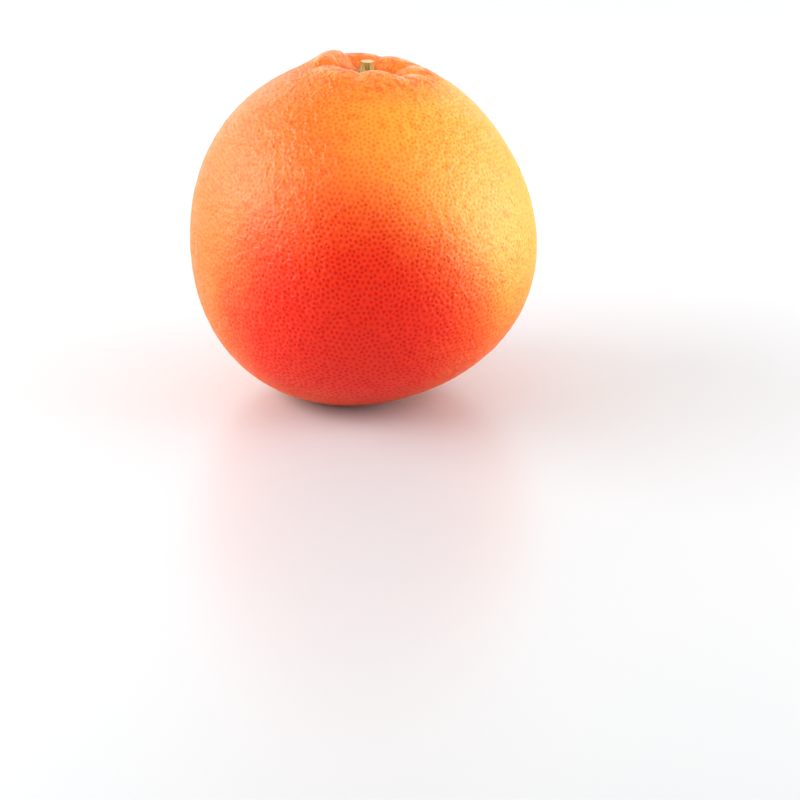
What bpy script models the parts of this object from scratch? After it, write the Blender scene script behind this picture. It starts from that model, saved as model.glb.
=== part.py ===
"""A whole grapefruit at its real size, in metres, +Z up, standing on its blossom end.

The origin is on the surface that the fruit stands on, under the middle of its bounding box.
The fruit is one grown body. The stem, which is the clipped stalk with the calyx at its foot, is
a second piece, and its peg sits in a small socket in the hollow of the stem end.
"""

import math
import random

import bmesh
import bpy
from mathutils import Matrix, Vector, noise

MM = 0.001

# The body: nearly a ball, a little flat, with narrow shoulders over a full lower half. The shares
# are of the mean radius, and the body's own axis leans to the left of the stem.
MEAN_RADIUS = 56.1 * MM
FLAT_SHARE = -0.0045
PEAR_SHARE = 0.028
SQUARE_SHARE = -0.012
BODY_LEAN_DEG = -13.5
STEM_LEAN_DEG = 2.5
UNEVEN_HEIGHT = 0.35 * MM
UNEVEN_SIZE = 30 * MM

# The small flat spot that the fruit stands on: how much lower the round body would reach
PRESSED_DEPTH = 1.6 * MM

# The stem end: a flat-floored hollow inside a raised rim
HOLLOW_DEPTH = 4.8 * MM
HOLLOW_SHARE = 0.64
HOLLOW_STEEPNESS = 4.0
RIM_SPREAD = 5.5 * MM

# The rim's cushions: direction from +X in degrees, height, and how far the crest is from the stem
CUSHIONS = (
    (5, 1.3 * MM, 18.5 * MM),
    (43, 1.3 * MM, 16.0 * MM),
    (88, 1.1 * MM, 13.5 * MM),
    (152, 2.8 * MM, 13.0 * MM),
    (216, 1.6 * MM, 14.5 * MM),
    (284, 1.2 * MM, 12.0 * MM),
    (332, 1.2 * MM, 18.0 * MM),
)
CUSHION_SHARPNESS = 12.0

# The furrows between the cushions: direction, depth, and how far they reach from the stem
FURROWS = (
    (20, 2.2 * MM, 27 * MM),
    (64, 1.5 * MM, 21 * MM),
    (116, 2.0 * MM, 22 * MM),
    (181, 2.6 * MM, 24 * MM),
    (250, 1.6 * MM, 20 * MM),
    (314, 1.7 * MM, 26 * MM),
    (346, 2.6 * MM, 27 * MM),
)
FURROW_WIDTH = 1.9 * MM
FURROW_START = 4.5 * MM
FURROW_FULL = 9.0 * MM
FURROW_FADE_SHARE = 0.55
FURROW_BEND_DEG = 9.0

# The blossom end: a small dimple with the point where the style was
SCAR_RADIUS = 5.0 * MM
SCAR_DEPTH = 0.8 * MM

# The peel's oil glands, as pits that are larger than life and fade out near the rim
GLAND_DEPTH = 0.22 * MM
GLAND_ROUGHNESS = 0.04 * MM
GLAND_FREE_RADIUS = 19 * MM
GLAND_FULL_RADIUS = 27 * MM
GLAND_SEED = 7

# The mesh: each side of an icosahedron's faces is cut into this many, crowded towards the stem,
# and the faces of the stem end are cut once more
FACE_CUTS = 22
CROWDING = 0.45
FINE_RADIUS = 16.5 * MM

# The stem: a five-lobed calyx with the clipped stalk on it, and a peg in the fruit's socket
STALK_RADIUS = 2.15 * MM
STALK_HEIGHT = 5.3 * MM
STALK_LIP = 0.3 * MM
CALYX_RADIUS = 3.6 * MM
CALYX_HEIGHT = 1.1 * MM
CALYX_EDGE = 0.35 * MM
CALYX_LOBES = 5
CALYX_LOBE_SHARE = 0.14
PEG_RADIUS = 1.8 * MM
SOCKET_DEPTH = 2.2 * MM
GAP = 0.3 * MM
STEM_SIDES = 40

RIND_COLOR = (0.86, 0.27, 0.05, 1.0)
STEM_COLOR = (0.33, 0.30, 0.13, 1.0)


def clear_scene():
    """Removes every object that the file came with."""
    for obj in list(bpy.data.objects):
        bpy.data.objects.remove(obj)


def material(name, color, roughness):
    """A plain Principled material."""
    made = bpy.data.materials.new(name)
    made.use_nodes = True
    shader = made.node_tree.nodes["Principled BSDF"]
    shader.inputs["Base Color"].default_value = color
    shader.inputs["Roughness"].default_value = roughness
    shader.inputs["Metallic"].default_value = 0.0
    return made


def smoothstep(value, low, high):
    """0 below low, 1 above high, and a smooth rise between them."""
    share = min(max((value - low) / (high - low), 0.0), 1.0)
    return share * share * (3 - 2 * share)


def body_radius(direction):
    """Distance from the fruit's centre to its skin, before the hollow of the stem end."""
    lean = math.radians(BODY_LEAN_DEG - STEM_LEAN_DEG)
    angle = direction.angle(Vector((math.sin(lean), 0, math.cos(lean))))
    shape = FLAT_SHARE * math.cos(2 * angle)
    shape += PEAR_SHARE * math.cos(3 * angle) + SQUARE_SHARE * math.cos(4 * angle)
    uneven = noise.noise(direction * (MEAN_RADIUS / UNEVEN_SIZE))
    return MEAN_RADIUS * (1 + shape) + UNEVEN_HEIGHT * uneven


def rim_crest(azimuth):
    """Height of the rim over the body and its distance from the stem, this way round."""
    weights = []
    for heading, _, _ in CUSHIONS:
        closeness = math.cos(azimuth - math.radians(heading)) - 1
        weights.append(math.exp(CUSHION_SHARPNESS * closeness))
    height = sum(weight * cushion[1] for weight, cushion in zip(weights, CUSHIONS))
    reach = sum(weight * cushion[2] for weight, cushion in zip(weights, CUSHIONS))
    return height / sum(weights), reach / sum(weights)


def furrow_height(reach, azimuth):
    """How far the furrows are below the rim, at this distance from the stem and this way round."""
    height = 0.0
    bend = math.radians(FURROW_BEND_DEG) * math.sin(reach / FURROW_FULL)
    for heading, depth, length in FURROWS:
        turn = azimuth - math.radians(heading) - bend
        aside = abs(math.atan2(math.sin(turn), math.cos(turn))) * reach
        along = smoothstep(reach, FURROW_START, FURROW_FULL)
        along *= 1 - smoothstep(reach, FURROW_FADE_SHARE * length, length)
        height -= depth * along * math.exp(-aside / FURROW_WIDTH)
    return height


def stem_end_height(reach, azimuth):
    """Height of the hollow, its rim and its furrows over the plain body."""
    rim_height, rim_reach = rim_crest(azimuth)
    rim = rim_height * math.exp(-(((reach - rim_reach) / RIM_SPREAD) ** 2))
    hollow_radius = HOLLOW_SHARE * rim_reach
    hollow = HOLLOW_DEPTH * math.exp(-((reach / hollow_radius) ** HOLLOW_STEEPNESS))
    return rim - hollow + furrow_height(reach, azimuth)


def skin_radius(direction):
    """Distance from the fruit's centre to its skin. The stem points along +Z here."""
    stem_reach = MEAN_RADIUS * direction.angle(Vector((0, 0, 1)))
    azimuth = math.atan2(direction.y, direction.x)
    return body_radius(direction) + stem_end_height(stem_reach, azimuth)


def crowded(direction):
    """The direction moved towards the stem, so that the furrows get small faces."""
    angle = direction.angle(Vector((0, 0, 1)))
    if angle < 1e-6 or angle > math.pi - 1e-6:
        return direction
    moved = angle - CROWDING * math.sin(angle)
    side = Vector((direction.x, direction.y, 0)).normalized()
    return side * math.sin(moved) + Vector((0, 0, math.cos(moved)))


def sink_glands(bm, directions):
    """Sinks a scatter of points, no two of them neighbours, as the pits of the peel."""
    chance = random.Random(GLAND_SEED)
    order = list(bm.verts)
    chance.shuffle(order)
    glands = set()
    for vert in order:
        if not any(edge.other_vert(vert) in glands for edge in vert.link_edges):
            glands.add(vert)
    for vert in bm.verts:
        direction = directions[vert]
        reach = MEAN_RADIUS * direction.angle(Vector((0, 0, 1)))
        share = smoothstep(reach, GLAND_FREE_RADIUS, GLAND_FULL_RADIUS)
        drop = GLAND_DEPTH if vert in glands else 0.0
        drop += chance.uniform(-GLAND_ROUGHNESS, GLAND_ROUGHNESS)
        vert.co -= direction * drop * share


def stem_frame(centre_height):
    """Where the fruit's centre is, turned by the lean of its stem."""
    lean = Matrix.Rotation(math.radians(STEM_LEAN_DEG), 4, "Y")
    return Matrix.Translation((0, 0, centre_height)) @ lean


def build_fruit(rind):
    """The fruit, set on the flat spot at its blossom end, and the frame of its stem."""
    bm = bmesh.new()
    bmesh.ops.create_icosphere(bm, subdivisions=1, radius=1)
    bmesh.ops.subdivide_edges(bm, edges=bm.edges[:], cuts=FACE_CUTS - 1, use_grid_fill=True)
    for vert in bm.verts:
        vert.co = crowded(vert.co.normalized())
    fine_height = math.cos(FINE_RADIUS / MEAN_RADIUS)
    fine = [edge for edge in bm.edges if all(vert.co.z > fine_height for vert in edge.verts)]
    bmesh.ops.subdivide_edges(bm, edges=fine, cuts=1, use_grid_fill=True)
    bmesh.ops.triangulate(bm, faces=bm.faces)
    directions = {vert: vert.co.normalized() for vert in bm.verts}
    for vert, direction in directions.items():
        vert.co = direction * skin_radius(direction)
    sink_glands(bm, directions)

    bmesh.ops.transform(bm, matrix=stem_frame(0), verts=bm.verts)
    lowest = min(vert.co.z for vert in bm.verts) + PRESSED_DEPTH
    across = [[vert.co[axis] for vert in bm.verts] for axis in range(2)]
    middle = [(min(values) + max(values)) / 2 for values in across]
    to_floor = Matrix.Translation((-middle[0], -middle[1], -lowest))
    bmesh.ops.transform(bm, matrix=to_floor, verts=bm.verts)
    for vert, direction in directions.items():
        scar_reach = MEAN_RADIUS * direction.angle(Vector((0, 0, -1)))
        dimple = SCAR_DEPTH * (1 - smoothstep(scar_reach, 0, SCAR_RADIUS))
        vert.co.z = max(vert.co.z, 0.0) + dimple

    mesh = bpy.data.meshes.new("fruit")
    bm.to_mesh(mesh)
    bm.free()
    mesh.shade_smooth()
    mesh.materials.append(rind)
    fruit = bpy.data.objects.new("fruit", mesh)
    bpy.context.collection.objects.link(fruit)
    return fruit, to_floor @ stem_frame(0)


def floor_height(reach):
    """Greatest height of the hollow's floor over the fruit's centre, this far from the stem."""
    heights = []
    for i in range(STEM_SIDES):
        turn = 2 * math.pi * i / STEM_SIDES
        aside = Vector((math.cos(turn), math.sin(turn), 0)) * math.sin(reach / MEAN_RADIUS)
        direction = aside + Vector((0, 0, math.cos(reach / MEAN_RADIUS)))
        heights.append(skin_radius(direction) * direction.z)
    return max(heights)


def ring(bm, height, radius, lobe_share):
    """A closed ring of edges round the stem, with this share of its radius as soft lobes."""
    verts = []
    for i in range(STEM_SIDES):
        turn = 2 * math.pi * i / STEM_SIDES
        spread = radius * (1 + lobe_share * math.cos(CALYX_LOBES * turn))
        verts.append(bm.verts.new((spread * math.cos(turn), spread * math.sin(turn), height)))
    return [bm.edges.new((verts[i - 1], verts[i])) for i in range(STEM_SIDES)]


def build_stem(bark, frame):
    """The clipped stalk, its calyx and the peg under them, bridged from ring to ring."""
    seat = floor_height(CALYX_RADIUS * (1 + CALYX_LOBE_SHARE)) + GAP
    peg_end = floor_height(0) - SOCKET_DEPTH + GAP
    neck = seat + CALYX_HEIGHT
    top = floor_height(0) + STALK_HEIGHT
    lobes = CALYX_LOBE_SHARE
    stations = (
        (peg_end, PEG_RADIUS * 0.8, 0),
        (peg_end + STALK_LIP, PEG_RADIUS, 0),
        (seat, PEG_RADIUS, 0),
        (seat, CALYX_RADIUS * 0.9, lobes),
        (seat + CALYX_EDGE, CALYX_RADIUS, lobes),
        (seat + CALYX_EDGE * 2, CALYX_RADIUS * 0.86, lobes * 0.9),
        (neck, STALK_RADIUS * 1.3, lobes * 0.5),
        (neck + CALYX_EDGE, STALK_RADIUS * 1.05, lobes * 0.2),
        ((neck + top) / 2, STALK_RADIUS, lobes * 0.15),
        (top - STALK_LIP, STALK_RADIUS * 1.04, lobes * 0.15),
        (top, STALK_RADIUS * 0.92, 0),
    )
    bm = bmesh.new()
    rings = [ring(bm, *station) for station in stations]
    for lower, upper in zip(rings, rings[1:]):
        bmesh.ops.bridge_loops(bm, edges=lower + upper)
    bmesh.ops.contextual_create(bm, geom=rings[0])
    bmesh.ops.contextual_create(bm, geom=rings[-1])
    bmesh.ops.recalc_face_normals(bm, faces=bm.faces)
    bmesh.ops.transform(bm, matrix=frame, verts=bm.verts)

    mesh = bpy.data.meshes.new("stem")
    bm.to_mesh(mesh)
    bm.free()
    mesh.shade_smooth()
    mesh.set_sharp_from_angle(angle=math.radians(50))
    mesh.materials.append(bark)
    stem = bpy.data.objects.new("stem", mesh)
    bpy.context.collection.objects.link(stem)
    return stem


def cut_socket(fruit, frame):
    """Cuts the round socket for the stem's peg out of the hollow's floor."""
    above = SOCKET_DEPTH
    bm = bmesh.new()
    bmesh.ops.create_cone(
        bm,
        cap_ends=True,
        segments=STEM_SIDES // 2,
        radius1=PEG_RADIUS + GAP,
        radius2=PEG_RADIUS + GAP,
        depth=SOCKET_DEPTH + above,
    )
    to_floor = Matrix.Translation((0, 0, floor_height(0)))
    bmesh.ops.transform(bm, matrix=frame @ to_floor, verts=bm.verts)
    mesh = bpy.data.meshes.new("socket_cutter")
    bm.to_mesh(mesh)
    bm.free()
    cutter = bpy.data.objects.new("socket_cutter", mesh)
    cutter.hide_render = True
    cutter.display_type = "WIRE"
    bpy.context.collection.objects.link(cutter)
    cut = fruit.modifiers.new("socket", "BOOLEAN")
    cut.operation = "DIFFERENCE"
    cut.solver = "EXACT"
    cut.object = cutter


def main():
    clear_scene()
    fruit, frame = build_fruit(material("rind", RIND_COLOR, 0.45))
    cut_socket(fruit, frame)
    build_stem(material("stem_bark", STEM_COLOR, 0.8), frame)


main()
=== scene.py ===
"""The looks of a whole grapefruit, standing on its blossom end. Sizes are in metres.

The peel takes the place of the plain fruit solid, and the stalk that of the plain stem.
"""

import math
import random

import bmesh
import bpy
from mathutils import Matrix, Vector


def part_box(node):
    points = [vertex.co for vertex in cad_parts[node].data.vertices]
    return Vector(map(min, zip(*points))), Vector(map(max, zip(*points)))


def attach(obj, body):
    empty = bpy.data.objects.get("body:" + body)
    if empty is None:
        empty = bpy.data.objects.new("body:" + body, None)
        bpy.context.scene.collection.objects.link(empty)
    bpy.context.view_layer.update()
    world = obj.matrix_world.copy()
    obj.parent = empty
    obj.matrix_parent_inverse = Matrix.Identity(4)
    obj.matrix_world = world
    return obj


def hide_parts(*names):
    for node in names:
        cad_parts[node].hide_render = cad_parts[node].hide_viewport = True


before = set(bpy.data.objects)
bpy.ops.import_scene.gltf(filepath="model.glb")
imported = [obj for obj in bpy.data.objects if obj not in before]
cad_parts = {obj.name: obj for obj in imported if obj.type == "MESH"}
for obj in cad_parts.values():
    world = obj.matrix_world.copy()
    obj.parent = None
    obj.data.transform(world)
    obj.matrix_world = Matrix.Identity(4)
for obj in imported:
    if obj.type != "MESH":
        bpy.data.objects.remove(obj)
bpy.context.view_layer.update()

MM = 0.001

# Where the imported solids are
FRUIT_LOW, FRUIT_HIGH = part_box("fruit")
CENTRE = (FRUIT_LOW + FRUIT_HIGH) / 2
RADIUS = (FRUIT_HIGH.x - FRUIT_LOW.x) / 2
STEM_LOW, STEM_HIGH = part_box("stem")
STEM_END_BAND = 0.18 * MM  # the stem's top and bottom rings are within this of its ends

# The form that the peel is laid on: the fruit solid without its socket and its coarse pits
WELD = 0.001 * MM  # corners that are nearer than this are one
SOCKET_REACH = 2.12 * MM
SMOOTHING = 0.5  # how far one round of smoothing takes a corner
FORM_ROUNDS = 8
FORM_SWELL = 0.3 * MM  # makes up for what the smoothing and the glands' pits take off
ROUND_OFF_CUTS = 2

# The peel's oil glands, which are 1.8 mm apart on the real fruit
BALL_CUTS = 6
GLAND_CLOSEST = 1.37 * MM
GLAND_TRIES = 1e7  # for each square metre, enough to leave no gaps
GLAND_SEED = 5
GLAND_ACROSS = 1.05 * MM
GLAND_DEPTH = 0.36 * MM
GLAND_WEAKEST = 0.75
GLAND_MOST = 1.4

# The stem end, which has no pits, and how finely its furrows are cut
SMOOTH_REACH = 15.5 * MM
PITTED_REACH = 22 * MM
CELL_ACROSS = 2.5 * MM
FURROW_CUTS = 2
FOLD_ROUNDS = 110  # of smoothing, which leave the broad form that is under the folds

# Low ripples all over the peel
RIPPLE_ACROSS = 3.2 * MM
RIPPLE_HEIGHT = 0.28 * MM

# The scar that the flower left, in a dimple underneath, with no pits beside it
FLOWER_SCAR = Vector((-2.4 * MM, 0, 0.6 * MM))
SCAR_REACH = 3.5 * MM
SCAR_UNEVEN = 2.0 * MM

# How wide the rind's patterns are, and how deep those that are felt
PATCH_ACROSS = 22 * MM
MOTTLE_ACROSS, PEBBLE_DEPTH = 2.6 * MM, 0.95 * MM
GRAIN_ACROSS, GRAIN_DEPTH = 0.8 * MM, 0.06 * MM
WRINKLE_ACROSS, WRINKLE_DEPTH = 1.3 * MM, 0.5 * MM

# The stalk, its calyx of five lobes, and how far its dry end has shrunk
STALK_SIDES = 40
STALK_SEED = 3
STALK_TRIM = 0.55 * MM
PEG_TIP_RADIUS = 1.5 * MM
CALYX_LOBES = 5
LOBES_LOW, LOBES_HIGH = 2.3 * MM, 3.1 * MM
NOTCH_START = 0.36  # of a lobe's width, out from its middle
NOTCH_KEEPS = 0.72  # of the radius
BARK_LOW, BARK_MARGIN = 3.8 * MM, 0.2 * MM
BARK_GROOVES = STALK_SIDES // 3
GROOVE_KEEPS = 0.9  # of the radius
CUT_END_BAND = 0.35 * MM

# The bark's ribs and the pith's flecks, wider than real ones so that they show
RIB_ACROSS, RIB_LENGTH, RIB_DEPTH = 0.5 * MM, 3.5 * MM, 0.15 * MM
FLECK_ACROSS, FLECK_DEPTH = 0.5 * MM, 0.1 * MM
PITH_UNEVEN = 1.2 * MM

# The floor, and the light that comes from all round
FLOOR_ACROSS = 8
ROOM_LIGHT = 0.36

# Each softbox: degrees round to the right from the front, degrees up, metres away, width
# and height in metres, and watts
SOFTBOXES = (
    ("left_softbox", -94, 22, 0.85, (0.55, 0.55), 7.9),
    ("left_front_strip", -62, 24, 0.9, (0.4, 0.7), 4.1),
    ("left_wall", -135, 20, 1.0, (0.8, 0.9), 3.6),
    ("back_wall", 180, 22, 1.2, (1.6, 0.9), 5.8),
    ("right_wall", 130, 20, 1.0, (0.8, 0.9), 2.3),
    ("right_softbox", 85, 24, 0.85, (0.55, 0.55), 3.0),
    ("right_low_strip", 95, 4, 0.9, (0.9, 0.4), 7.0),
    ("front_fill", 0, 55, 1.0, (0.9, 0.6), 1.3),
    ("right_front_strip", 60, 30, 0.9, (0.4, 0.7), 2.0),
)

# The photograph's view: a long lens, nearly a metre off, looking 21 degrees down
LENS_LENGTH = 127.6
LENS_NEAR = 0.01
CAMERA_PLACE = (0.0117, -0.8751, 0.3307)
CAMERA_TILT_DEG = 69


def middle(points):
    """The middle of the box round some points."""
    low = Vector(min(point[axis] for point in points) for axis in range(3))
    high = Vector(max(point[axis] for point in points) for axis in range(3))
    return (low + high) / 2


stem_corners = [corner.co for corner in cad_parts["stem"].data.vertices]
STEM_FOOT = middle([co for co in stem_corners if co.z < STEM_LOW.z + STEM_END_BAND])
STEM_TIP = middle([co for co in stem_corners if co.z > STEM_HIGH.z - STEM_END_BAND])
STEM_AXIS = (STEM_TIP - STEM_FOOT).normalized()

# The sides of the fruit with a colour of their own, where the red of the lower front is partly
# the blush and partly painted red light reflected onto it: which way each faces from the middle,
# how patchy its edge is, and where it starts and is full, as the cosine of the angle there
SUNNY_SIDE = (Vector((0.8, -0.11, 0.59)), 0.3, 0.35, 0.95)
BLUSH_AND_RED_LIGHT_SIDE = (Vector((-0.06, -0.93, -0.38)), 0.2, 0.6, 1.07)
STEM_SIDE = (STEM_FOOT - CENTRE, 0.0, 0.82, 0.95)


def linear(hex_color):
    """A colour written as sRGB hex, turned to linear red, green, blue and alpha."""
    values = [int(hex_color[i : i + 2], 16) / 255 for i in (1, 3, 5)]
    return [v / 12.92 if v <= 0.04045 else ((v + 0.055) / 1.055) ** 2.4 for v in values] + [1.0]


def smoothstep(value, low, high):
    """0 below low, 1 above high, and a smooth rise between them."""
    share = min(max((value - low) / (high - low), 0.0), 1.0)
    return share * share * (3 - 2 * share)


def stem_reach(point):
    """How far this point of the skin is from the middle of the stem end, over the skin."""
    return RADIUS * (point - CENTRE).angle(STEM_FOOT - CENTRE)


def pitted(point):
    """How far the pits have set in here: 0 at the smooth stem end and 1 on the body."""
    return smoothstep(stem_reach(point), SMOOTH_REACH, PITTED_REACH)


def pick(piece):
    """Makes this piece the only one that is selected, and the active one."""
    bpy.ops.object.select_all(action="DESELECT")
    piece.select_set(True)
    bpy.context.view_layer.objects.active = piece


def edit(piece):
    """Opens this piece in edit mode with all of it selected."""
    pick(piece)
    bpy.ops.object.mode_set(mode="EDIT")
    bpy.ops.mesh.select_mode(type="FACE")
    bpy.ops.mesh.select_all(action="SELECT")


def done_editing():
    """Goes back to object mode, with the piece still picked."""
    bpy.ops.object.mode_set(mode="OBJECT")


def select_faces(piece, wanted):
    """Selects, in edit mode, only the faces that pass this test of middle and corners."""
    bpy.ops.mesh.select_all(action="DESELECT")
    bm = bmesh.from_edit_mesh(piece.data)
    for face in bm.faces:
        face.select_set(wanted(face.calc_center_median(), len(face.verts)))
    bmesh.update_edit_mesh(piece.data)


def draw_in(share):
    """Scales what is selected, in edit mode, towards the upright axis."""
    bpy.ops.transform.resize(value=(share, share, 1), center_override=(0, 0, 0))


def apply_modifier(piece, name, kind, **settings):
    """Adds a modifier with these settings and applies it."""
    modifier = piece.modifiers.new(name, kind)
    for setting, value in settings.items():
        setattr(modifier, setting, value)
    pick(piece)
    bpy.ops.object.modifier_apply(modifier=name)


def round_off(piece):
    """Rounds a piece by cutting each of its faces finer."""
    apply_modifier(
        piece, "round_off", "SUBSURF", levels=ROUND_OFF_CUTS, render_levels=ROUND_OFF_CUTS
    )


def stand_on_floor(piece):
    """Lifts what would be under the floor up to it, as the flat spot is."""
    for corner in piece.data.vertices:
        corner.co.z = max(corner.co.z, FRUIT_LOW.z)


def set_weights(piece, name, weight):
    """Gives the piece a vertex group whose weights this function works out from each corner."""
    group = piece.vertex_groups.new(name=name)
    for corner in piece.data.vertices:
        group.add([corner.index], weight(corner), "REPLACE")


def set_values(piece, name, values):
    """Gives the piece an attribute that its material reads, with a value for each corner."""
    piece.data.attributes.new(name, "FLOAT", "POINT").data.foreach_set("value", values)


def fill(tree, node, inputs):
    """Sets a node's inputs to values, or links them to other nodes."""
    for name, value in inputs.items():
        if isinstance(value, bpy.types.NodeSocket):
            tree.links.new(value, node.inputs[name])
        else:
            node.inputs[name].default_value = value


def add_node(tree, kind, inputs=None, stops=(), **settings):
    """Adds a node, sets it, and fills its inputs with values or with links."""
    made = tree.nodes.new(kind)
    for name, value in settings.items():
        setattr(made, name, value)
    fill(tree, made, inputs or {})
    for i, (place, hex_color) in enumerate(stops):
        ends = made.color_ramp.elements
        stop = ends[i] if i < len(ends) else ends.new(place)
        stop.position = place
        stop.color = linear(hex_color)
    return made


def new_shaping(name):
    """A node group that reshapes a mesh, and the socket that holds the mesh as it comes."""
    group = bpy.data.node_groups.new(name, "GeometryNodeTree")
    group.interface.new_socket("Mesh", in_out="INPUT", socket_type="NodeSocketGeometry")
    group.interface.new_socket("Mesh", in_out="OUTPUT", socket_type="NodeSocketGeometry")
    return group, add_node(group, "NodeGroupInput").outputs[0]


def apply_shaping(piece, group, mesh):
    """Ends the node group with this mesh, and applies it to the piece."""
    add_node(group, "NodeGroupOutput", {"Mesh": mesh})
    apply_modifier(piece, group.name, "NODES", node_group=group)


def new_material(name):
    """A material, its nodes and its shader."""
    made = bpy.data.materials.new(name)
    made.use_nodes = True
    return made, made.node_tree, made.node_tree.nodes["Principled BSDF"]


def make_form():
    """A closed and smoothed copy of the fruit solid, for the peel to be laid on."""
    pick(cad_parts["fruit"])
    bpy.ops.object.duplicate()
    form = bpy.context.object
    form.name = "form"
    edit(form)
    bpy.ops.mesh.remove_doubles(threshold=WELD)

    def in_socket(point, corners):
        aside = point - STEM_FOOT
        along = aside.dot(STEM_AXIS)
        return point.z > CENTRE.z and (aside - STEM_AXIS * along).length < SOCKET_REACH

    select_faces(form, in_socket)
    bpy.ops.mesh.delete(type="FACE")
    bpy.ops.mesh.select_all(action="SELECT")
    bpy.ops.mesh.fill_holes(sides=0)
    done_editing()
    set_weights(form, "body", lambda corner: pitted(corner.co))
    apply_modifier(
        form, "even_out", "SMOOTH", factor=SMOOTHING, iterations=FORM_ROUNDS, vertex_group="body"
    )
    apply_modifier(
        form, "swell", "DISPLACE", strength=FORM_SWELL, mid_level=0, vertex_group="body"
    )
    stand_on_floor(form)
    round_off(form)
    return form


def make_gland_cells():
    """A ball cut into some thirteen thousand uneven cells, one for each oil gland."""
    bpy.ops.object.select_all(action="DESELECT")
    bpy.ops.mesh.primitive_ico_sphere_add(subdivisions=BALL_CUTS, radius=RADIUS)
    cells = bpy.context.object
    cells.name = "peel"
    scatter, ball = new_shaping("scatter_glands")
    spots = add_node(
        scatter,
        "GeometryNodeDistributePointsOnFaces",
        {
            "Mesh": ball,
            "Distance Min": GLAND_CLOSEST,
            "Density Max": GLAND_TRIES,
            "Seed": GLAND_SEED,
        },
        distribute_method="POISSON",
    ).outputs["Points"]
    corners = add_node(scatter, "GeometryNodePointsToVertices", {"Points": spots}).outputs[0]
    apply_shaping(cells, scatter, corners)

    edit(cells)
    bpy.ops.mesh.select_mode(type="VERT")
    bpy.ops.mesh.select_all(action="SELECT")
    bpy.ops.transform.tosphere(value=1)
    bpy.ops.mesh.convex_hull(join_triangles=False)
    bpy.ops.mesh.select_all(action="SELECT")
    bpy.ops.mesh.vertices_smooth(factor=SMOOTHING)
    done_editing()

    # Each corner becomes a cell, and each triangle a corner where three cells meet
    swap, hull = new_shaping("corners_to_cells")
    apply_shaping(cells, swap, add_node(swap, "GeometryNodeDualMesh", {"Mesh": hull}).outputs[0])
    cells.location = CENTRE
    bpy.ops.object.transform_apply(location=True, rotation=True, scale=True)
    return cells


def lay_on(peel, form):
    """Moves every corner of the peel straight out from the fruit's centre onto the form."""
    laying, cells = new_shaping("lay_on")
    place = add_node(laying, "GeometryNodeInputPosition").outputs[0]
    centre = add_node(laying, "FunctionNodeInputVector", vector=CENTRE).outputs[0]
    outward = add_node(
        laying, "ShaderNodeVectorMath", {0: place, 1: centre}, operation="SUBTRACT"
    ).outputs[0]
    skin = add_node(laying, "GeometryNodeObjectInfo", {"Object": form}).outputs["Geometry"]
    hit = add_node(
        laying,
        "GeometryNodeRaycast",
        {"Target Geometry": skin, "Source Position": centre, "Ray Direction": outward},
    ).outputs["Hit Position"]
    moved = add_node(
        laying, "GeometryNodeSetPosition", {"Geometry": cells, "Position": hit}
    ).outputs[0]
    apply_shaping(peel, laying, moved)


def poke_glands(peel):
    """Gives each cell a corner in its middle, and says how much of a gland each corner is."""
    rims = len(peel.data.vertices)
    edit(peel)
    select_faces(
        peel,
        lambda point, corners: corners > 3 and stem_reach(point) >= SMOOTH_REACH + CELL_ACROSS,
    )
    bpy.ops.mesh.poke()
    done_editing()

    # Glands are much of one size, so in a narrow cell the gland takes more of it, and some
    # are fuller than others
    narrowest = [CELL_ACROSS] * len(peel.data.vertices)
    for side in peel.data.edges:
        ends = [peel.data.vertices[end] for end in side.vertices]
        length = (ends[0].co - ends[1].co).length
        for end in ends:
            narrowest[end.index] = min(narrowest[end.index], length)
    chance = random.Random(GLAND_SEED)
    gland = [0.0] * rims
    for corner in peel.data.vertices[rims:]:
        fade = pitted(corner.co)
        fade *= smoothstep((corner.co - FLOWER_SCAR).length, 0, SCAR_REACH)
        share = min(GLAND_ACROSS / narrowest[corner.index], GLAND_MOST)
        gland.append(fade * share * chance.uniform(GLAND_WEAKEST, 1.0))
    set_values(peel, "gland", gland)
    set_weights(peel, "glands", lambda corner: min(gland[corner.index], 1.0))


def measure_folds(peel):
    """Says how far each corner of the stem end stands over its broad form, in millimetres."""
    set_weights(peel, "folds", lambda corner: 1 - pitted(corner.co))
    pick(peel)
    bpy.ops.object.duplicate()
    broad = bpy.context.object
    apply_modifier(
        broad, "broaden", "SMOOTH", factor=SMOOTHING, iterations=FOLD_ROUNDS, vertex_group="folds"
    )
    relief = []
    for corner, broad_corner in zip(peel.data.vertices, broad.data.vertices):
        relief.append((corner.co - broad_corner.co).dot(corner.normal) / MM)
    set_values(peel, "relief", relief)
    bpy.data.objects.remove(broad)


def make_peel():
    """The peel: every cell dips to its oil gland, and the stem end is smooth and furrowed."""
    form = make_form()
    peel = make_gland_cells()
    edit(peel)
    select_faces(peel, lambda point, corners: stem_reach(point) < SMOOTH_REACH + CELL_ACROSS)
    bpy.ops.mesh.poke()
    select_faces(peel, lambda point, corners: stem_reach(point) < SMOOTH_REACH)
    bpy.ops.mesh.subdivide(number_cuts=FURROW_CUTS)
    done_editing()
    lay_on(peel, form)
    bpy.data.objects.remove(form)
    poke_glands(peel)
    measure_folds(peel)

    apply_modifier(
        peel, "pits", "DISPLACE", strength=-GLAND_DEPTH, mid_level=0, vertex_group="glands"
    )
    ripple = bpy.data.textures.new("ripple", "CLOUDS")
    ripple.noise_scale = RIPPLE_ACROSS
    apply_modifier(
        peel, "ripples", "DISPLACE", strength=RIPPLE_HEIGHT, mid_level=0.5, texture=ripple
    )
    stand_on_floor(peel)
    pick(peel)
    bpy.ops.object.shade_smooth()
    return peel


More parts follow.
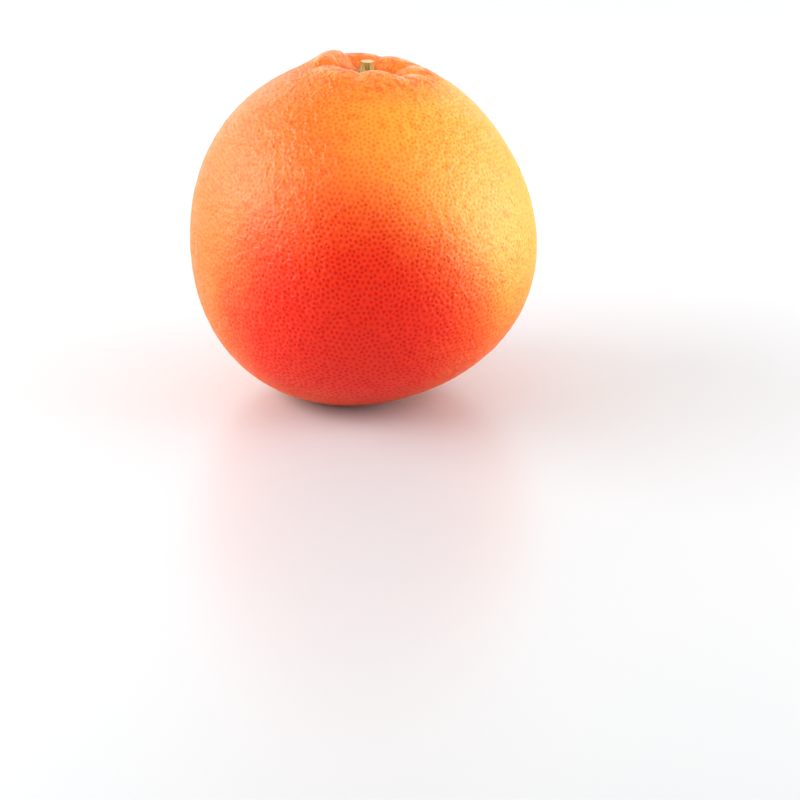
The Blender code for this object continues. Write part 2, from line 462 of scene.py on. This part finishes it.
def waxy_rind():
    """Grapefruit rind: a waxed, pitted skin that runs from red below to orange and yellow.

    The wax gives soft, broad highlights, which the pits break up, and a little light
    enters the peel and comes out again beside them.
    """
    made, tree, shader = new_material("waxy_rind")
    where = add_node(tree, "ShaderNodeTexCoord").outputs["Object"]
    from_centre = add_node(
        tree, "ShaderNodeVectorMath", {0: where, 1: CENTRE}, operation="SUBTRACT"
    ).outputs[0]
    heading = add_node(
        tree, "ShaderNodeVectorMath", {0: from_centre}, operation="NORMALIZE"
    ).outputs[0]

    # Broad patches, mottling as wide as a gland or two, fine grain, and small wrinkles
    patterns = []
    for across, detail, roughness in (
        (PATCH_ACROSS, 3.0, 0.55),
        (MOTTLE_ACROSS, 3.0, 0.6),
        (GRAIN_ACROSS, 2.0, 0.5),
        (WRINKLE_ACROSS, 2.0, 0.5),
    ):
        pattern = add_node(
            tree,
            "ShaderNodeTexNoise",
            {"Vector": where, "Scale": 1 / across, "Detail": detail, "Roughness": roughness},
        )
        patterns.append(pattern.outputs["Fac"])
    patchy, mottle, grain, wrinkle = patterns

    # How much each place belongs to the sunny side, the red side (blush and painted red light) and
    # the stem end
    sides = []
    for way, patchiness, start, full in (SUNNY_SIDE, BLUSH_AND_RED_LIGHT_SIDE, STEM_SIDE):
        facing = add_node(
            tree,
            "ShaderNodeVectorMath",
            {0: heading, 1: way.normalized()},
            operation="DOT_PRODUCT",
        ).outputs["Value"]
        uneven = add_node(
            tree, "ShaderNodeMath", {0: patchy, 1: patchiness, 2: facing}, operation="MULTIPLY_ADD"
        ).outputs[0]
        side = add_node(
            tree,
            "ShaderNodeMapRange",
            {"Value": uneven, "From Min": start, "From Max": full},
            interpolation_type="SMOOTHSTEP",
        )
        sides.append(side.outputs[0])
    sunny, blush_and_red_light, stemward = sides

    # How near each place is to the middle of an oil gland, where the blush and its painted red
    # light are at their fullest
    gland = add_node(tree, "ShaderNodeAttribute", attribute_name="gland").outputs["Fac"]
    oil = add_node(
        tree,
        "ShaderNodeMapRange",
        {"Value": gland, "From Min": 0.18, "From Max": 0.8},
        interpolation_type="SMOOTHSTEP",
    ).outputs[0]
    redness = add_node(
        tree, "ShaderNodeMapRange", {"Value": oil, "To Min": 0.88, "To Max": 1.0}
    ).outputs[0]
    blush_and_red_light = add_node(
        tree, "ShaderNodeMath", {0: blush_and_red_light, 1: redness}, operation="MULTIPLY"
    ).outputs[0]

    # Redder towards the stem, in flecks, and duller flecks all over
    flecked = add_node(
        tree,
        "ShaderNodeMapRange",
        {"Value": mottle, "From Min": 0.35, "From Max": 0.65, "To Min": 0.4, "To Max": 0.9},
    ).outputs[0]
    stem_red = add_node(
        tree, "ShaderNodeMath", {0: stemward, 1: flecked}, operation="MULTIPLY"
    ).outputs[0]
    dull = add_node(
        tree, "ShaderNodeMapRange", {"Value": mottle, "From Min": 0.52, "From Max": 0.75}
    ).outputs[0]

    # The glands show through as small dots of a deeper colour, most of all on the red side
    # and least of all towards the stem
    strong = add_node(
        tree, "ShaderNodeMapRange", {"Value": blush_and_red_light, "To Min": 0.45, "To Max": 1.0}
    ).outputs[0]
    faded = add_node(
        tree, "ShaderNodeMapRange", {"Value": stemward, "To Min": 1.0, "To Max": 0.4}
    ).outputs[0]
    dots = add_node(
        tree, "ShaderNodeMath", {0: strong, 1: faded}, operation="MULTIPLY"
    ).outputs[0]
    dots = add_node(
        tree, "ShaderNodeMath", {0: dots, 1: oil}, operation="MULTIPLY"
    ).outputs[0]

    # The stem end's folds: paler cream along their crests, a painted shade of red-brown in their
    # creases, and brown beside the stem, partly dried skin and partly painted shadow under the
    # calyx
    relief = add_node(tree, "ShaderNodeAttribute", attribute_name="relief").outputs["Fac"]
    crest = add_node(
        tree,
        "ShaderNodeMapRange",
        {"Value": relief, "From Min": 0.2, "From Max": 0.5, "To Max": 0.32},
    ).outputs[0]
    # Painted shade in the creases, darker the deeper a corner sits below its broad form
    painted_crease_shade = add_node(
        tree,
        "ShaderNodeMapRange",
        {"Value": relief, "From Min": -0.12, "From Max": -0.55, "To Max": 0.8},
    ).outputs[0]
    from_stem = add_node(
        tree, "ShaderNodeVectorMath", {0: where, 1: STEM_FOOT}, operation="DISTANCE"
    ).outputs["Value"]
    # Brown ring round the stem foot: partly dried skin, partly painted shadow of the gap under the
    # calyx
    dried_skin_and_shadow = add_node(
        tree,
        "ShaderNodeMapRange",
        {"Value": from_stem, "From Min": 6.5 * MM, "From Max": 4.2 * MM, "To Max": 0.9},
        interpolation_type="SMOOTHSTEP",
    ).outputs[0]

    # The flower's scar: a dry brown point in paler, smoother skin
    from_scar = add_node(
        tree, "ShaderNodeVectorMath", {0: where, 1: FLOWER_SCAR}, operation="DISTANCE"
    ).outputs["Value"]
    from_scar = add_node(
        tree, "ShaderNodeMath", {0: mottle, 1: SCAR_UNEVEN, 2: from_scar}, operation="MULTIPLY_ADD"
    ).outputs[0]
    pale = add_node(
        tree,
        "ShaderNodeMapRange",
        {"Value": from_scar, "From Min": 7.0 * MM, "From Max": 3.0 * MM, "To Max": 0.45},
        interpolation_type="SMOOTHSTEP",
    ).outputs[0]
    scar = add_node(
        tree,
        "ShaderNodeMapRange",
        {"Value": from_scar, "From Min": 2.7 * MM, "From Max": 2.0 * MM, "To Max": 0.9},
    ).outputs[0]

    # Orange all over, and then each colour over it in turn
    skin = linear("#FC7427")
    for share, hex_color, laid in (
        (sunny, "#FFA638", "MIX"),
        # Red over the lower front: partly the fruit's blush, partly painted red light reflected
        # onto it
        (blush_and_red_light, "#EE0E08", "MIX"),
        (stem_red, "#F87224", "MIX"),
        (dull, "#FAD4BE", "MULTIPLY"),
        (dots, "#F09E80", "MULTIPLY"),
        (crest, "#FFC890", "MIX"),
        # Painted shade: red-brown darkening in the folds' creases
        (painted_crease_shade, "#C23A1A", "MIX"),
        # Partly dried skin, partly painted shadow where the calyx meets the skin
        (dried_skin_and_shadow, "#8A4A1E", "MIX"),
        (pale, "#F8B070", "MIX"),
        (scar, "#5A3418", "MIX"),
    ):
        skin = add_node(
            tree,
            "ShaderNodeMix",
            {0: share, 6: skin, 7: linear(hex_color)},
            data_type="RGBA",
            blend_type=laid,
        ).outputs[2]

    # Grain, pebbling between the pits, and wrinkles round the stem, where there are no pits
    wrinkle = add_node(
        tree, "ShaderNodeMath", {0: wrinkle, 1: stemward}, operation="MULTIPLY"
    ).outputs[0]
    surface = {}
    for pattern, strength, depth in (
        (grain, 0.5, GRAIN_DEPTH),
        (mottle, 1.0, PEBBLE_DEPTH),
        (wrinkle, 1.0, WRINKLE_DEPTH),
    ):
        bump = add_node(
            tree,
            "ShaderNodeBump",
            {"Height": pattern, "Strength": strength, "Distance": depth, **surface},
        )
        surface = {"Normal": bump.outputs[0]}

    finish = {
        "Base Color": skin,
        "Roughness": 0.27,
        "IOR": 1.45,
        "Specular IOR Level": 0.26,
        "Subsurface Weight": 0.12,
        "Subsurface Radius": (2.0 * MM, 0.8 * MM, 0.3 * MM),
        "Subsurface Scale": 1.0,
    }
    fill(tree, shader, {**finish, **surface})
    return made


def angle_round(point):
    """How far round the upright axis this point is, in turns from 0 to 1."""
    return math.atan2(point.y, point.x) / math.tau % 1.0


def make_stalk():
    """The calyx, its five lobes and the clipped stalk, drawn up ring by ring from the peg."""
    length = (STEM_TIP - STEM_FOOT).length - STALK_TRIM
    # The height and radius of each ring: peg, calyx, bark, and the clipped end's hollow
    rings = (
        (0.3 * MM, 1.8 * MM),
        (2.2 * MM, 1.85 * MM),
        (2.25 * MM, 3.3 * MM),
        (2.5 * MM, 4.0 * MM),
        (2.8 * MM, 3.9 * MM),
        (3.2 * MM, 3.0 * MM),
        (3.7 * MM, 2.45 * MM),
        (4.6 * MM, 2.15 * MM),
        (length - 0.45 * MM, 2.1 * MM),
        (length - 0.1 * MM, 2.2 * MM),
        (length, 1.95 * MM),
        (length - 0.15 * MM, 1.3 * MM),
        (length - 0.05 * MM, 0.6 * MM),
    )
    bpy.ops.object.select_all(action="DESELECT")
    bpy.ops.mesh.primitive_circle_add(
        vertices=STALK_SIDES, radius=PEG_TIP_RADIUS, fill_type="NGON"
    )
    stalk = bpy.context.object
    stalk.name = "stalk"
    edit(stalk)
    height, radius = 0.0, PEG_TIP_RADIUS
    for next_height, next_radius in rings:
        bpy.ops.mesh.extrude_region_move(
            TRANSFORM_OT_translate={"value": (0, 0, next_height - height)}
        )
        draw_in(next_radius / radius)
        height, radius = next_height, next_radius
    bpy.ops.mesh.poke()

    # Notches between the five lobes of the calyx, then grooves up the bark
    select_faces(
        stalk,
        lambda point, corners: LOBES_LOW < point.z < LOBES_HIGH
        and abs(angle_round(point) * CALYX_LOBES % 1.0 - 0.5) > NOTCH_START,
    )
    draw_in(NOTCH_KEEPS)
    grooves = random.Random(STALK_SEED).sample(range(STALK_SIDES), BARK_GROOVES)
    select_faces(
        stalk,
        lambda point, corners: BARK_LOW < point.z < length - BARK_MARGIN
        and int(angle_round(point) * STALK_SIDES) in grooves,
    )
    draw_in(GROOVE_KEEPS)
    bpy.ops.mesh.select_all(action="SELECT")
    bpy.ops.mesh.normals_make_consistent(inside=False)
    done_editing()
    round_off(stalk)

    # Bark all over, and bare wood where the top faces up
    stalk.data.materials.append(dry_bark())
    stalk.data.materials.append(cut_wood())
    for face in stalk.data.polygons:
        if face.center.z > length - CUT_END_BAND and face.normal.z > 0.5:
            face.material_index = 1
    stalk.rotation_mode = "QUATERNION"
    stalk.rotation_quaternion = Vector((0, 0, 1)).rotation_difference(STEM_AXIS)
    stalk.location = STEM_FOOT
    bpy.ops.object.transform_apply(location=True, rotation=True, scale=True)
    bpy.ops.object.shade_smooth()
    return stalk


def dry_bark():
    """Dried citrus twig: thin ribbed bark, khaki with green left in it, with no shine."""
    made, tree, shader = new_material("dry_bark")
    where = add_node(tree, "ShaderNodeTexCoord").outputs["Object"]
    fibres = add_node(
        tree,
        "ShaderNodeMapping",
        {"Vector": where, "Scale": (1 / RIB_ACROSS, 1 / RIB_ACROSS, 1 / RIB_LENGTH)},
    ).outputs[0]
    ribs = add_node(
        tree, "ShaderNodeTexNoise", {"Vector": fibres, "Scale": 1.0, "Detail": 3.0}
    ).outputs["Fac"]
    bark = add_node(
        tree,
        "ShaderNodeValToRGB",
        {"Fac": ribs},
        stops=((0.32, "#6A5826"), (0.5, "#9C8444"), (0.68, "#B8AC62")),
    ).outputs["Color"]
    bump = add_node(
        tree, "ShaderNodeBump", {"Height": ribs, "Strength": 0.7, "Distance": RIB_DEPTH}
    ).outputs[0]
    fill(tree, shader, {"Base Color": bark, "Normal": bump, "Roughness": 0.75})
    return made


def cut_wood():
    """Clipped end of the twig: dry pale pith in a thin rim of darker wood, with no shine."""
    made, tree, shader = new_material("cut_wood")
    where = add_node(tree, "ShaderNodeTexCoord").outputs["Object"]
    from_middle = add_node(
        tree, "ShaderNodeVectorMath", {0: where, 1: STEM_TIP}, operation="DISTANCE"
    ).outputs["Value"]
    flecks = add_node(
        tree,
        "ShaderNodeTexNoise",
        {"Vector": where, "Scale": 1 / FLECK_ACROSS, "Detail": 2.0},
    ).outputs["Fac"]
    uneven = add_node(
        tree,
        "ShaderNodeMath",
        {0: flecks, 1: PITH_UNEVEN, 2: from_middle},
        operation="MULTIPLY_ADD",
    ).outputs[0]
    ring = add_node(
        tree,
        "ShaderNodeMapRange",
        {"Value": uneven, "From Min": 1.2 * MM, "From Max": 3.0 * MM},
    ).outputs[0]
    wood = add_node(
        tree,
        "ShaderNodeValToRGB",
        {"Fac": ring},
        stops=((0.0, "#DCA878"), (0.6, "#ECBC8C"), (1.0, "#A88048")),
    ).outputs["Color"]
    bump = add_node(
        tree, "ShaderNodeBump", {"Height": flecks, "Strength": 0.5, "Distance": FLECK_DEPTH}
    ).outputs[0]
    fill(tree, shader, {"Base Color": wood, "Normal": bump, "Roughness": 0.85})
    return made


def make_floor():
    """White acrylic: a pale sheet that runs back out of sight and mirrors the fruit softly."""
    bpy.ops.object.select_all(action="DESELECT")
    bpy.ops.mesh.primitive_plane_add(size=FLOOR_ACROSS)
    floor = bpy.context.object
    floor.name = "floor"
    made, tree, shader = new_material("white_acrylic")
    fill(tree, shader, {"Base Color": linear("#C5C6C7"), "Roughness": 0.3})
    floor.data.materials.append(made)


def add_softbox(name, turn, height, away, size, watts):
    """A soft oblong light that faces the fruit, from so many degrees round and up."""
    turn, height = math.radians(turn), math.radians(height)
    toward = Vector((math.sin(turn), -math.cos(turn), 0)) * math.cos(height)
    toward.z = math.sin(height)
    lamp = bpy.data.lights.new(name, "AREA")
    lamp.shape = "RECTANGLE"
    lamp.size, lamp.size_y = size
    lamp.energy = watts
    light = bpy.data.objects.new(name, lamp)
    light.location = CENTRE + toward * away
    light.rotation_euler = toward.to_track_quat("Z", "Y").to_euler()
    bpy.context.scene.collection.objects.link(light)


def set_stage():
    """The floor, the dim room, and the softboxes all round the fruit."""
    make_floor()
    world = bpy.data.worlds.new("studio")
    bpy.context.scene.world = world
    world.use_nodes = True
    surround = world.node_tree.nodes["Background"]
    surround.inputs["Color"].default_value = linear("#FFFFFF")
    surround.inputs["Strength"].default_value = ROOM_LIGHT
    for softbox in SOFTBOXES:
        add_softbox(*softbox)
    bpy.context.scene.view_settings.view_transform = "Standard"


def add_camera():
    """Sets up the photograph's view."""
    lens = bpy.data.cameras.new("photo_view")
    lens.lens = LENS_LENGTH
    lens.clip_start = LENS_NEAR
    camera = bpy.data.objects.new("photo_view", lens)
    camera.location = CAMERA_PLACE
    camera.rotation_euler = (math.radians(CAMERA_TILT_DEG), 0, 0)
    bpy.context.scene.collection.objects.link(camera)
    bpy.context.scene.camera = camera


def main():
    peel = make_peel()
    peel.data.materials.append(waxy_rind())
    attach(peel, "root")
    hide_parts("fruit")
    stalk = make_stalk()
    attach(stalk, "root")
    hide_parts("stem")
    set_stage()
    add_camera()


main()
